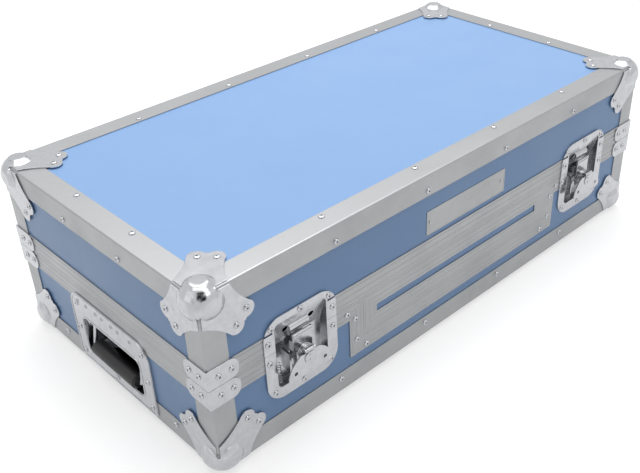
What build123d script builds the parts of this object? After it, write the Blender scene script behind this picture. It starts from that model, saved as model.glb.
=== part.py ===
"""DJ mixer flight case with a lift-off lid, four recessed twist latches and two sprung handles.

Millimetres. X runs along the case, the front faces -Y, +Z is up. The origin is on the floor
under the middle of the case, which stands on the flats of its lower ball corners.
Wall hardware is drawn once on a flat wall, with X along it, Y inwards from the outer face of
the edge extrusions and Z up from the underside of the bottom extrusions, and then placed.
"""
from build123d import *
import os

os.makedirs("parts", exist_ok=True)

# Shell, measured over the edge extrusions
case_length = 810.0
case_depth = 408.0
case_height = 243.0
board = 9.0
edge_leg = 30.0
edge_wall = 1.5
edge_radius = 2.4

# Tongue and groove closure extrusions
seam_height = 123.0
seam_gap = 0.3
base_rail_face = 23.0
lid_rail_face = 25.5
groove_depth = 6.0
rail_web = 1.5
base_rail_inner = 18.0
lid_rail_inner = 12.0
tongue_length = 5.0
tongue_wall = 1.5
tongue_clearance = 0.5
flute_width = 2.2
flute_depth = 0.55
flute_count = 3

# Removable front panel and the frame round its opening
opening_margin = 93.5
opening_offset = 4.5
opening_height = 56.5

# Ball corners
ball_radius = 24.0
ball_inset = 16.0
ball_proud = 6.0
corner_sheet = 1.5
leaf_crotch = 39.0
leaf_waist = 2.4
lobe_near = 42.5
lobe_far = 57.0
lobe_radius = 10.5
lobe_notch = 8.0
slit_start = 24.5
slit_width = 3.6
fold_radius = 3.0

# Braces at the seam
brace_reach = 40.0
brace_sheet = 1.5
brace_height = 26.0
brace_gap = 0.3
brace_radius = 11.0

# Twist latches: plate, pan and split, with heights from the seam
latch_inset = 127.5
latch_width = 107.0
latch_drop = 70.0
latch_rise = 43.5
latch_corner = 25.0
latch_sheet = 1.5
pan_width = 76.0
pan_drop = 55.0
pan_rise = 35.0
pan_depth = 9.5
pan_radius = 7.0
pan_taper = 5.0
relief_height = 2.5
relief_margin = 1.0
keyhole_radius = 4.0
keyhole_spread = 19.0
keyhole_rise = 18.0
keeper_width = 28.0
keeper_radius = 6.0
keeper_rise = 15.0
keeper_front = 0.7

# Twist latches: mechanism
axis_drop = 19.0
cam_throw = 4.5
cam_radius = 5.2
cam_clearance = 1.2
barrel_radius = 9.5
barrel_front = 11.0
barrel_flange = 1.5
running_gap = 0.3
pivot_radius = 4.0
pivot_clearance = 0.05
pivot_head = 6.0
pivot_head_thickness = 1.2
tongue_plate = 2.0
tongue_front = 2.5
tongue_width = 28.0
hook_rise = 9.0
hook_bead = 1.1
cheek_depth = 5.0
cheek_length = 26.0
cheek_drop = 1.5
guide_width = 3.0
guide_height = 7.5
wing_radius = 33.0
wing_base_drop = 44.5
wing_sheet = 1.6
wing_end_radius = 5.0
wing_hole_spread = 22.0
wing_hole_drop = 35.0
wing_hole_radius = 2.6
wing_pin_drop = 12.0
wing_pin_stand_off = 13.5
wing_pin_radius = 1.2
knuckle_radius = 2.3
knuckle_width = 9.6
ear_width = 2.6
ear_gap = 0.3
tab_width = 16.0
tab_length = 16.0
tab_radius = 7.0
tab_sheet = 1.2
tab_rivet_radius = 1.9
tab_rivet_height = 0.6
tab_rivet_drops = (4.8, 11.5)

# Recessed handles
handle_width = 174.0
handle_bottom = 5.0
handle_drop = 12.0
handle_upper_radius = 24.0
handle_lower_radius = 8.0
handle_sheet = 1.5
dish_width = 124.0
dish_sill = 19.0
dish_lintel = 34.0
dish_depth = 26.0
dish_radius = 8.0
bail_wire = 3.0
bail_gap = 9.5
bail_pivot_depth = 8.0
bail_pivot_drop = 11.0
bail_bend = 3.4
bail_clearance = 0.05
grip_radius = 10.3
grip_gap = 4.5
grip_depth = 3.0
grip_rise = 12.0
grip_round = 2.5
grip_clearance = 0.2

# Foam linings
floor_foam = 8.0
wall_foam = 5.0
lid_foam = 8.0
foam_clearance = 0.3
foam_margin = 3.0

# Levels worked out from the sizes above
liner = edge_wall + board
inner_face = liner + edge_wall
groove_floor = seam_height - groove_depth
base_wall_top = groove_floor - rail_web
lid_rail_bottom = seam_height + seam_gap
lid_rail_top = lid_rail_bottom + lid_rail_face
lid_wall_bottom = lid_rail_bottom + rail_web
lid_wall_top = case_height - liner
base_rail_bottom = seam_height - base_rail_face
latch_offset = case_length / 2 - latch_inset
opening_length = 2 * (latch_offset - opening_margin)
opening_bottom = seam_height - opening_height
opening_left = opening_offset - opening_length / 2
opening_right = opening_offset + opening_length / 2
latch_bottom = seam_height - latch_drop
latch_top = seam_height + latch_rise
pan_bottom = seam_height - pan_drop
pan_top = seam_height + pan_rise
pan_back = pan_depth + latch_sheet
pan_half = pan_width / 2 + latch_sheet
axis_height = seam_height - axis_drop
hook_top = seam_height + hook_rise
wing_base = seam_height - wing_base_drop
wing_pin_height = seam_height - wing_pin_drop
handle_top = seam_height - handle_drop
dish_bottom = handle_bottom + dish_sill
dish_top = handle_top - dish_lintel
dish_half = dish_width / 2 + handle_sheet
bail_spread = dish_width / 2 - bail_gap
bail_pivot_height = dish_top - bail_pivot_drop
grip_height = dish_bottom + grip_rise
grip_half = bail_spread - grip_gap

SIDES = {
    "front": (0, case_depth / 2, case_length / 2),
    "right": (90, case_length / 2, case_depth / 2),
    "rear": (180, case_depth / 2, case_length / 2),
    "left": (-90, case_length / 2, case_depth / 2),
}
LATCHES = {
    "front_left": ("front", -latch_offset),
    "front_right": ("front", latch_offset),
    "rear_left": ("rear", latch_offset),
    "rear_right": ("rear", -latch_offset),
}


def on_side(side, shape):
    """Puts a shape drawn on the flat wall onto one side of the case."""
    angle, distance, _ = SIDES[side]
    return Pos(0, 0, ball_proud) * Rot(0, 0, angle) * Pos(0, -distance, 0) * shape


def block(x0, x1, y0, y1, z0, z1):
    """A box between two corners."""
    return Pos((x0 + x1) / 2, (y0 + y1) / 2, (z0 + z1) / 2) * Box(x1 - x0, y1 - y0, z1 - z0)


def prism_along_x(points, length):
    """A closed (y, z) section drawn out along X, centred."""
    return extrude(Plane.YZ * make_face(Polyline(*points, close=True)), length / 2, both=True)


def face_prism(points, y0, y1):
    """A closed (x, z) outline on the wall, drawn inwards from y0 to y1."""
    outline = Plane.XZ.offset(-y0) * make_face(Polyline(*points, close=True))
    return extrude(outline, -(y1 - y0))


def face_rectangle(width, bottom, top, radius, y0, y1, taper=0):
    """A round-cornered rectangle on the wall, drawn inwards from y0 to y1."""
    outline = Plane.XZ.offset(-y0) * Pos(0, (bottom + top) / 2) * RectangleRounded(width, top - bottom, radius)
    return extrude(outline, -(y1 - y0), taper=taper)


def y_cylinder(radius, x, z, y0, y1):
    """A round bar square to the wall."""
    return Pos(x, (y0 + y1) / 2, z) * Rot(90, 0, 0) * Cylinder(radius, y1 - y0)


def x_cylinder(radius, y, z, x0, x1):
    """A round bar along the wall."""
    return Pos((x0 + x1) / 2, y, z) * Rot(0, 90, 0) * Cylinder(radius, x1 - x0)


def corner_mitre(half_length, depth, z0, z1):
    """The space of a bar whose ends are cut at 45 degrees where two walls meet."""
    outline = Polyline(
        (-half_length, 0), (half_length, 0), (half_length - depth, depth), (-half_length + depth, depth),
        close=True)
    return extrude(Plane.XY.offset(z0) * make_face(outline), z1 - z0)


def fluted_edge(low, high, y=0):
    """Points down the outer face of an extrusion from high to low, with its V flutes."""
    pitch = (high - low) / flute_count
    points = [(y, high)]
    for i in range(flute_count):
        middle = high - pitch * (i + 0.5)
        points += [(y, middle + flute_width / 2), (y + flute_depth, middle), (y, middle - flute_width / 2)]
    return points + [(y, low)]


def groove_section(seam):
    """Section of the grooved base extrusion, with its groove open at the seam height given."""
    low = seam - base_rail_face
    floor = seam - groove_depth
    return fluted_edge(low, seam) + [
        (edge_wall, low), (edge_wall, floor - rail_web), (liner, floor - rail_web),
        (liner, seam - base_rail_inner), (inner_face, seam - base_rail_inner), (inner_face, seam),
        (liner, seam), (liner, floor), (edge_wall, floor), (edge_wall, seam)]


def tongue_section(seam, face):
    """Section of the lid extrusion, with its double tongue hanging below the seam height given."""
    low = seam + seam_gap
    tip = seam - tongue_length
    first = edge_wall + tongue_clearance
    last = liner - tongue_clearance
    return fluted_edge(low, low + face) + [
        (first, low), (first, tip), (first + tongue_wall, tip), (first + tongue_wall, low),
        (last - tongue_wall, low), (last - tongue_wall, tip), (last, tip), (last, low),
        (inner_face, low), (inner_face, low + lid_rail_inner), (liner, low + lid_rail_inner),
        (liner, low + rail_web), (edge_wall, low + rail_web), (edge_wall, low + face)]


def latch_positions(side):
    """Places of the latches along one side."""
    return [x for place, x in LATCHES.values() if place == side]


def latch_windows(side, z0, z1):
    """The cut-outs that the latch pans need in a wall or a rail."""
    return [block(x - pan_half, x + pan_half, -edge_wall, 2 * inner_face, z0, z1)
            for x in latch_positions(side)]


def cut(shape, tools):
    """A shape less each of a list of tools."""
    for tool in tools:
        shape = shape - tool
    return shape


def join(shapes):
    """One compound of separate solids."""
    solids = []
    for shape in shapes:
        solids += list(shape.solids())
    return Compound(children=solids)


# Boards

def floor_board():
    """Bottom board, inside the bottom extrusions."""
    low = ball_proud + edge_wall
    half_x = case_length / 2 - edge_wall
    half_y = case_depth / 2 - edge_wall
    return cut(block(-half_x, half_x, -half_y, half_y, low, low + board), corner_tips())


def lid_board():
    """Top board, inside the top extrusions, the bottom board turned over."""
    return mirror(floor_board(), Plane.XY.offset(ball_proud + case_height / 2))


def wall_board(side, z0, z1):
    """One wall: the long walls run right through, and the end walls stand between them."""
    _, _, half_length = SIDES[side]
    inset = edge_wall if side in ("front", "rear") else liner
    return block(-half_length + inset, half_length - inset, edge_wall, liner, z0, z1)


def base_wall(side):
    """A wall of the base, cut for what is let into it."""
    wall = wall_board(side, liner, base_wall_top)
    wall = cut(wall, latch_windows(side, pan_bottom - latch_sheet, seam_height))
    if side == "front":
        edge = groove_depth + rail_web
        wall = wall - block(opening_left - edge, opening_right + edge, 0, 2 * liner,
                            opening_bottom - edge, seam_height)
    if side in ("left", "right"):
        wall = wall - block(-dish_half, dish_half, 0, 2 * liner,
                            dish_bottom - handle_sheet, dish_top + handle_sheet)
    return on_side(side, wall)


def lid_wall(side):
    """A wall of the lid, cut for the upper halves of the latches."""
    wall = wall_board(side, lid_wall_bottom, lid_wall_top)
    return on_side(side, cut(wall, latch_windows(side, seam_height, pan_top + latch_sheet)))


# Edge extrusions

def angle_section():
    """Section of the edge angle, with a rounded outer edge."""
    outer = Rectangle(edge_leg, edge_leg, align=(Align.MIN, Align.MIN))
    inner = Pos(edge_wall, edge_wall) * Rectangle(edge_leg, edge_leg, align=(Align.MIN, Align.MIN))
    return fillet((outer - inner).vertices().sort_by_distance((0, 0))[0], edge_radius)


def bottom_edges():
    """The four mitred angles round the bottom board."""
    bars = []
    for side, (_, _, half_length) in SIDES.items():
        bar = extrude(Plane.YZ * angle_section(), half_length, both=True)
        bar = on_side(side, bar & corner_mitre(half_length, edge_leg, 0, edge_leg))
        bars.append(cut(bar, corner_tips()))
    return bars


def base_edges():
    """The bottom angles, cut at the ends of the case for the handle dishes."""
    window = block(-dish_half, dish_half, -edge_wall, liner, dish_bottom - handle_sheet, 2 * edge_leg)
    windows = [on_side("left", window), on_side("right", window)]
    return join([cut(bar, windows) for bar in bottom_edges()])


def lid_edges():
    """The four mitred angles round the top board, the bottom frame turned over."""
    middle = ball_proud + case_height / 2
    return join([mirror(bar, Plane.XY.offset(middle)) for bar in bottom_edges()])


def corner_posts(z0, z1):
    """Four upright angles between two levels, one at each corner."""
    return join(at_corners(extrude(Plane.XY.offset(z0) * angle_section(), z1 - z0)))


# Closure rails

def base_rail(side):
    """Grooved rail on top of one base wall, cut for the latches and the front opening."""
    _, _, half_length = SIDES[side]
    bar = prism_along_x(groove_section(seam_height), 2 * half_length)
    bar = bar & corner_mitre(half_length, inner_face, 0, case_height)
    bar = cut(bar, latch_windows(side, 0, case_height))
    if side == "front":
        bar = bar - face_prism(
            [(opening_left - base_rail_face, base_rail_bottom), (opening_left, seam_height),
             (opening_left, case_height), (opening_right, case_height), (opening_right, seam_height),
             (opening_right + base_rail_face, base_rail_bottom)],
            -edge_wall, 2 * inner_face)
    return join([on_side(side, bar)])


def lid_rail(side):
    """Tongued rail under one lid wall, cut for the latches."""
    _, _, half_length = SIDES[side]
    bar = prism_along_x(tongue_section(seam_height, lid_rail_face), 2 * half_length)
    bar = bar & corner_mitre(half_length, inner_face, 0, case_height)
    return on_side(side, cut(bar, latch_windows(side, 0, case_height)))


def lid_rails():
    """The tongued rails of all four lid walls."""
    return join([lid_rail(side) for side in SIDES])


# Front opening and its removable panel

def turned_strip(section, x, direction):
    """A rail section stood upright, with its seam line at x and its groove or tongue facing direction."""
    bar = prism_along_x(section, 2 * case_height)
    return Pos(x, 0, 0) * Rot(0, 90 * direction, 0) * bar


def opening_frame():
    """Grooved strips down both sides and along the bottom of the front opening."""
    face = base_rail_face
    low = opening_bottom - face
    bottom = prism_along_x(groove_section(opening_bottom), opening_length + 2 * face)
    bottom = Pos(opening_offset, 0, 0) * bottom
    bottom = bottom & face_prism(
        [(opening_left - face, low), (opening_right + face, low),
         (opening_right, opening_bottom), (opening_left, opening_bottom)], -edge_wall, 2 * inner_face)
    strips = [bottom]
    for x, direction in ((opening_left, 1), (opening_right, -1)):
        outer = x - direction * face
        strip = turned_strip(groove_section(0), x, direction)
        strips.append(strip & face_prism(
            [(outer, low), (x, opening_bottom), (x, seam_height), (outer, base_rail_bottom)],
            -edge_wall, 2 * inner_face))
    return join([on_side("front", s) for s in strips])


def panel_board():
    """Board of the removable front panel."""
    edge = seam_gap + rail_web
    return on_side("front", block(opening_left + edge, opening_right - edge, edge_wall, liner,
                                  opening_bottom + edge, base_wall_top))


def panel_rails():
    """Mitred extrusions round the removable panel: grooved on top, tongued on the other edges."""
    face = base_rail_face
    left = opening_left + seam_gap
    right = opening_right - seam_gap
    low = opening_bottom + seam_gap
    high = seam_height
    reach = tongue_length + seam_gap
    deep = 2 * inner_face
    top = Pos(opening_offset, 0, 0) * prism_along_x(groove_section(high), opening_length)
    top = top & face_prism([(left, high), (left + face, high - face), (right - face, high - face),
                            (right, high)], -edge_wall, deep)
    bottom = Pos(opening_offset, 0, 0) * prism_along_x(tongue_section(opening_bottom, face), 2 * opening_length)
    bottom = bottom & face_prism([(left - reach, low - reach), (left + face, low + face),
                                  (right - face, low + face), (right + reach, low - reach)], -edge_wall, deep)
    rails = [top, bottom]
    groove = block(2 * opening_left, 2 * opening_right, edge_wall, liner, groove_floor, case_height)
    for x, direction in ((opening_left, 1), (opening_right, -1)):
        edge = x + direction * seam_gap
        inside = edge + direction * face
        outside = edge - direction * reach
        rail = turned_strip(tongue_section(0, face), x, direction)
        rail = rail & face_prism([(outside, low - reach), (inside, low + face), (inside, high - face),
                                  (edge, high), (outside, high)], -edge_wall, deep)
        rails.append(rail - groove)
    return join([on_side("front", r) for r in rails])


# Ball corners and seam braces

def leaf_outline():
    """Outline of a leaf of the ball corner, in the corner's own bottom face."""
    notch = (lobe_near + lobe_far) / 2 + lobe_notch / 2 ** 0.5
    foot = (-corner_sheet, leaf_crotch)
    shoulder = (lobe_near - 0.86 * lobe_radius, lobe_far + 0.5 * lobe_radius)
    middle = ((foot[0] + shoulder[0]) / 2 + leaf_waist / 2, (foot[1] + shoulder[1]) / 2 - leaf_waist)
    outline = make_face([
        ThreePointArc(foot, middle, shoulder),
        Line(shoulder, (notch, notch)),
        Line((notch, notch), shoulder[::-1]),
        ThreePointArc(shoulder[::-1], middle[::-1], foot[::-1]),
        Line(foot[::-1], (-corner_sheet, -corner_sheet)),
        Line((-corner_sheet, -corner_sheet), foot),
    ])
    outline += Pos(lobe_near, lobe_far) * Circle(lobe_radius)
    outline += Pos(lobe_far, lobe_near) * Circle(lobe_radius)
    return outline


def cube(low, high):
    """A cube along the corner's diagonal."""
    return block(low, high, low, high, low, high)


def folded_cube(low, high, radius):
    """A cube whose three edges at its low corner are rounded."""
    solid = cube(low, high)
    return fillet(solid.edges().sort_by_distance((low, low, low))[:3], radius)


def ball_corner():
    """A pressed ball corner at the front left bottom corner: a flattened ball and three leaves."""
    t = corner_sheet
    far = 2 * lobe_far
    diagonal = Axis((0, 0, 0), (1, 1, 1))
    turns = (0, 120, 240)
    middle = Pos(ball_inset, ball_inset, ball_inset)
    sheet = folded_cube(-t, far, fold_radius) - cube(0, 2 * far)
    leaf = sheet & extrude(leaf_outline(), fold_radius, both=True)
    leaf -= cube(-2 * t, ball_inset)
    slit = block(slit_start, far, -2 * t, slit_width - t, -2 * t, slit_width - t)
    leaf -= slit + slit.rotate(diagonal, turns[1])
    ball = middle * Sphere(ball_radius) & cube(-ball_proud, 2 * ball_radius)
    tip = middle * Sphere(ball_radius) - middle * Sphere(ball_radius - t)
    corner = (ball - cube(0, far)) + (tip & cube(0, ball_inset))
    for turn in turns:
        corner += leaf.rotate(diagonal, turn)
    return corner


def at_corners(shape):
    """Four copies of a shape drawn at the front left bottom corner, one at each lower corner."""
    first = Pos(-case_length / 2, -case_depth / 2, ball_proud) * shape
    pair = [first, mirror(first, Plane.YZ)]
    return pair + [mirror(p, Plane.XZ) for p in pair]


def corner_tips():
    """What is trimmed off the four lower corners of the shell so that the balls can cover them."""
    middle = Pos(ball_inset, ball_inset, ball_inset)
    return at_corners(cube(-edge_wall, ball_inset) - middle * Sphere(ball_radius - corner_sheet))


def ball_corners():
    """The four ball corners under the base."""
    return join(at_corners(ball_corner()))


def lid_ball_corners():
    """The four ball corners of the lid, the lower ones turned over."""
    return join([mirror(ball_corners(), Plane.XY.offset(ball_proud + case_height / 2))])


def seam_braces(z0, z1):
    """Four folded braces that tie the closure rails at the corners, between two levels."""
    t = brace_sheet
    plate = block(-t, brace_reach, -t, 0, z0, z1)
    plate = fillet(plate.edges().filter_by(Axis.Y).group_by(Axis.X)[-1], brace_radius)
    other = mirror(plate, Plane((0, 0, 0), x_dir=(0, 0, 1), z_dir=(1, -1, 0)))
    return join(at_corners(plate + other))


# Twist latches

def pan_space(margin):
    """The pan's hollow, or its outside where a margin is given, with a ramp from its top to the seam."""
    depth = pan_depth + margin
    space = face_rectangle(pan_width + 2 * margin, pan_bottom - margin, pan_top + margin,
                           pan_radius + margin, -latch_sheet, depth, pan_taper)
    front = -2 * latch_sheet
    return space & prism_along_x([(front, 0), (depth, 0), (depth, seam_height), (margin - latch_sheet, pan_top),
                                  (front, pan_top)], latch_width)


def latch_plate():
    """The whole pressed plate and pan of a latch, before it is split at the seam."""
    plate = face_rectangle(latch_width, latch_bottom, latch_top, latch_corner, -latch_sheet, edge_wall)
    plate -= block(-latch_width, latch_width, 0, inner_face, base_rail_bottom, lid_rail_top)
    return plate + pan_space(latch_sheet) - pan_space(0)


def latch_dish():
    """Lower half of a latch, on the base: plate, pan, pivot hole and the tongue's guides."""
    dish = latch_plate() & block(-latch_width, latch_width, -2 * latch_sheet, 2 * pan_back, 0, seam_height)
    for side in (-1, 1):
        near = side * (tongue_width / 2 + running_gap)
        far = near + side * guide_width
        dish += block(min(near, far), max(near, far), pan_depth - guide_height, pan_depth,
                      axis_height - cheek_length, axis_height)
    return dish - y_cylinder(pivot_radius + pivot_clearance, 0, axis_height, 0, 2 * pan_back)


def keeper_dish():
    """Upper half of a latch, on the lid: plate, ramped pan and the half-round keeper."""
    dish = latch_plate() & block(-latch_width, latch_width, -2 * latch_sheet, 2 * pan_back,
                                 lid_rail_bottom, case_height)
    keeper = x_cylinder(keeper_radius, keeper_front + keeper_radius, seam_height + keeper_rise,
                        -keeper_width / 2, keeper_width / 2)
    dish += keeper & pan_space(latch_sheet)
    for side in (-1, 1):
        dish -= y_cylinder(keyhole_radius, side * keyhole_spread, seam_height + keyhole_rise, -pan_back, pan_back)
        inner = side * (pan_half + relief_margin)
        outer = side * latch_width
        dish -= block(min(inner, outer), max(inner, outer), -2 * latch_sheet, 2 * edge_wall,
                      lid_rail_top, lid_rail_top + relief_height)
    return dish


def latch_tongue():
    """Hook plate that the cam lifts: slot, side cheeks, and a double lip under the keeper."""
    back = tongue_plate - tongue_front
    slot_middle = axis_height - cam_throw
    slot_height = cam_radius + cam_clearance
    foot = slot_middle - slot_height - guide_width
    half = tongue_width / 2
    plate = block(-half, half, -tongue_front, back, foot, hook_top)
    plate = fillet(plate.edges().filter_by(Axis.Y).group_by(Axis.Z)[0], guide_width)
    slot_half = cam_radius + cam_throw + running_gap
    plate -= block(-slot_half, slot_half, -2 * tongue_front, tongue_plate,
                   slot_middle - slot_height, slot_middle + slot_height)
    for z in (hook_top - hook_bead, hook_top - 4 * hook_bead):
        plate += x_cylinder(hook_bead, -tongue_front, z, -half, half)
    for side in (-1, 1):
        near = side * half
        far = side * (half - tongue_plate)
        plate += block(min(near, far), max(near, far), -tongue_front, cheek_depth,
                       seam_height - cheek_length, seam_height - cheek_drop)
    return plate


def latch_spindle():
    """Barrel, eccentric cam, pivot and clevis, turned by the wing."""
    flange_back = -barrel_front + barrel_flange
    spindle = y_cylinder(barrel_radius, 0, axis_height, -barrel_front, -tongue_front - running_gap)
    spindle += face_rectangle(knuckle_width + 2 * (ear_gap + ear_width), axis_height - barrel_radius,
                              wing_pin_height + knuckle_radius, knuckle_radius, -barrel_front, flange_back)
    cam_back = tongue_plate - tongue_front + running_gap
    spindle += y_cylinder(cam_radius, 0, axis_height - cam_throw, -tongue_front - 2 * running_gap, cam_back)
    spindle += y_cylinder(pivot_radius, 0, axis_height, cam_back - running_gap, pan_back + running_gap)
    spindle += y_cylinder(pivot_head, 0, axis_height, pan_back + running_gap,
                          pan_back + running_gap + pivot_head_thickness)
    for side in (-1, 1):
        near = side * (knuckle_width / 2 + ear_gap)
        far = near + side * ear_width
        low, high = min(near, far), max(near, far)
        spindle += x_cylinder(knuckle_radius, -wing_pin_stand_off, wing_pin_height, low, high)
        spindle += block(low, high, -wing_pin_stand_off, flange_back,
                         wing_pin_height - knuckle_radius, wing_pin_height + knuckle_radius)
    pin_half = knuckle_width / 2 + ear_gap + ear_width
    return spindle + x_cylinder(wing_pin_radius, -wing_pin_stand_off, wing_pin_height, -pin_half, pin_half)


def latch_wing():
    """Half-moon thumb wing on its hinge knuckle, folded down against the plate."""
    front = -wing_pin_stand_off - wing_sheet / 2
    back = front + wing_sheet
    disc = y_cylinder(wing_radius, 0, wing_base, front, back)
    wing = disc & block(-wing_radius, wing_radius, front, back, wing_base, wing_pin_height)
    wing = fillet(wing.edges().filter_by(Axis.Y).group_by(Axis.Z)[0], wing_end_radius)
    shoulder = wing_pin_height - knuckle_radius - ear_gap
    far = wing_radius
    near = knuckle_width / 2
    for side in (-1, 1):
        x0, x1 = sorted((side * near, side * far))
        wing -= block(x0, x1, 2 * front, 0, shoulder, 2 * wing_pin_height)
        wing -= y_cylinder(wing_hole_radius, side * wing_hole_spread, seam_height - wing_hole_drop, 2 * front, 0)
    wing += x_cylinder(knuckle_radius, -wing_pin_stand_off, wing_pin_height, -near, near)
    wing -= x_cylinder(wing_pin_radius + pivot_clearance, -wing_pin_stand_off, wing_pin_height, -far, far)
    wing += face_rectangle(tab_width, shoulder - tab_length, shoulder, tab_radius, front - tab_sheet, front)
    for drop in tab_rivet_drops:
        wing += y_cylinder(tab_rivet_radius, 0, shoulder - drop, front - tab_sheet - tab_rivet_height, front)
    return wing


def on_latch(name, shape):
    """Puts a latch piece in its place on the case."""
    side, x = LATCHES[name]
    return on_side(side, Pos(x, 0, 0) * shape)


# Handles

def handle_dish():
    """Pressed handle plate with its finger dish and the holes the bail turns in."""
    plate = face_rectangle(handle_width, handle_bottom, handle_top, handle_lower_radius, -handle_sheet, edge_wall)
    upper = plate.edges().filter_by(Axis.Y).group_by(Axis.Z)[-1]
    corner = handle_upper_radius
    for side in (-1, 1):
        x0, x1 = sorted((side * (handle_width / 2 - corner), side * handle_width))
        square = block(x0, x1, -2 * handle_sheet, 2 * edge_wall, handle_top - corner, 2 * handle_top)
        rounding = y_cylinder(corner, side * (handle_width / 2 - corner), handle_top - corner,
                              -2 * handle_sheet, 2 * edge_wall)
        plate -= square - rounding
    plate -= block(-handle_width, handle_width, 0, inner_face, base_rail_bottom, 2 * handle_top)
    plate -= block(-handle_width, handle_width, 0, inner_face, -handle_top, edge_leg)
    outer = face_rectangle(2 * dish_half, dish_bottom - handle_sheet, dish_top + handle_sheet,
                           dish_radius + handle_sheet, -handle_sheet, dish_depth + handle_sheet)
    inner = face_rectangle(dish_width, dish_bottom, dish_top, dish_radius, -handle_sheet, dish_depth)
    dish = plate + outer - inner
    return dish - x_cylinder(bail_wire + bail_clearance, bail_pivot_depth, bail_pivot_height,
                             -dish_half, dish_half)


def handle_bail():
    """Bent steel bail whose turned-out ends sit in the dish's side walls."""
    pivot = (bail_pivot_depth, bail_pivot_height)
    grip = (grip_depth, grip_height)
    path = FilletPolyline(
        (dish_half, *pivot), (bail_spread, *pivot), (bail_spread, *grip),
        (-bail_spread, *grip), (-bail_spread, *pivot), (-dish_half, *pivot), radius=bail_bend)
    return sweep(Plane(path @ 0, z_dir=path % 0) * Circle(bail_wire), path)


def handle_grip():
    """Moulded round grip on the bail's middle."""
    grip = x_cylinder(grip_radius, grip_depth, grip_height, -grip_half, grip_half)
    grip = chamfer(grip.edges().filter_by(GeomType.CIRCLE), grip_round)
    return grip - x_cylinder(bail_wire + grip_clearance, grip_depth, grip_height, -grip_half, grip_half)


# Foam linings

def base_foam():
    """Foam pad on the floor board."""
    low = ball_proud + liner + foam_clearance
    half_x = case_length / 2 - liner - foam_margin
    half_y = case_depth / 2 - liner - foam_margin
    return block(-half_x, half_x, -half_y, half_y, low, low + floor_foam)


def wall_foams():
    """Foam on the two end walls and the rear wall, clear of the hardware that shows inside."""
    low = liner + floor_foam + 2 * foam_clearance
    high = seam_height - base_rail_inner - foam_margin
    front = liner + foam_clearance
    back = front + wall_foam
    pads = []
    for side in ("left", "rear", "right"):
        _, _, half_length = SIDES[side]
        half = half_length - liner - wall_foam - foam_margin
        pad = block(-half, half, front, back, low, high)
        for x in latch_positions(side):
            pad -= block(x - pan_half - foam_margin, x + pan_half + foam_margin, 0, 2 * back,
                         pan_bottom - 2 * foam_margin, 2 * high)
        if side != "rear":
            pad -= block(-dish_half - foam_margin, dish_half + foam_margin, 0, 2 * back,
                         dish_bottom - handle_sheet - foam_margin, dish_top + handle_sheet + foam_margin)
        pads.append(on_side(side, pad))
    return join(pads)


def lid_foam_pad():
    """Foam pad under the lid board."""
    high = ball_proud + case_height - liner - foam_clearance
    half_x = case_length / 2 - liner - foam_margin
    half_y = case_depth / 2 - liner - foam_margin
    return block(-half_x, half_x, -half_y, half_y, high - lid_foam, high)


def build():
    """Every piece of the case, by name."""
    nodes = {
        "base_floor": floor_board(),
        "base_edge_frame": base_edges(),
        "base_corner_posts": corner_posts(edge_leg, base_rail_bottom),
        "base_ball_corners": ball_corners(),
        "base_seam_braces": seam_braces(seam_height - brace_gap - brace_height, seam_height - brace_gap),
        "opening_frame": opening_frame(),
        "access_panel_board": panel_board(),
        "access_panel_rails": panel_rails(),
        "base_floor_foam": base_foam(),
        "base_wall_foam": wall_foams(),
        "lid_top": lid_board(),
        "lid_edge_frame": lid_edges(),
        "lid_corner_posts": corner_posts(lid_rail_top, case_height - edge_leg),
        "lid_ball_corners": lid_ball_corners(),
        "lid_seam_braces": seam_braces(lid_rail_bottom, lid_rail_bottom + brace_height),
        "lid_rails": lid_rails(),
        "lid_foam": lid_foam_pad(),
    }
    for side in SIDES:
        nodes["base_" + side + "_wall"] = base_wall(side)
        nodes["base_" + side + "_rail"] = base_rail(side)
        nodes["lid_" + side + "_wall"] = lid_wall(side)
    latch_pieces = {
        "latch_dish": latch_dish(),
        "keeper_dish": keeper_dish(),
        "latch_tongue": latch_tongue(),
        "latch_spindle": latch_spindle(),
        "latch_wing": latch_wing(),
    }
    for latch in LATCHES:
        for piece, shape in latch_pieces.items():
            nodes[latch + "_" + piece] = on_latch(latch, shape)
    handle_pieces = {"handle_dish": handle_dish(), "handle_bail": handle_bail(), "handle_grip": handle_grip()}
    for side in ("left", "right"):
        for piece, shape in handle_pieces.items():
            nodes[side + "_" + piece] = on_side(side, shape)
    return nodes


for node, shape in build().items():
    export_step(shape, "parts/" + node + ".step")
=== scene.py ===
"""Looks of the DJ mixer flight case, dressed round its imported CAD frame.

Lengths are millimetres, as on a workshop drawing, and turn to metres where a mesh is made. Only the
studio's floor, card and softboxes are given in metres.
A wall's own axes are x along it, out of its face, and z up from the underside of the bottom extrusions.
"""
import logging
import math
from abc import ABC, abstractmethod
from dataclasses import dataclass, field
from enum import Enum
from typing import Any, Iterable, Sequence

import bmesh
import bpy
from mathutils import Matrix, Vector


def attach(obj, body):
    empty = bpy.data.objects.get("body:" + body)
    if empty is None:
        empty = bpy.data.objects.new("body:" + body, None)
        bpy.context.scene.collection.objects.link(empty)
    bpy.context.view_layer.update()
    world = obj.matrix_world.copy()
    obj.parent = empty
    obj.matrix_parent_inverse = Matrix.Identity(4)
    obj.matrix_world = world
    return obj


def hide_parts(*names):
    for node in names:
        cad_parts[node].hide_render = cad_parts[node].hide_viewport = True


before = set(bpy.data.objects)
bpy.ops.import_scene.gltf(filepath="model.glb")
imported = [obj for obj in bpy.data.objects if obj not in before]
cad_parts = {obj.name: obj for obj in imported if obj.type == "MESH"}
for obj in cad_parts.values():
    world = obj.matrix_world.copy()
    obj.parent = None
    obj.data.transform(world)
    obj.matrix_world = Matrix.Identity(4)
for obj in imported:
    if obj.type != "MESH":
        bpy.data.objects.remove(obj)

log = logging.getLogger("flight_case")
MM = 0.001
# Points nearer to each other than this, in metres, are one
WELD = 1e-6
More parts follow.
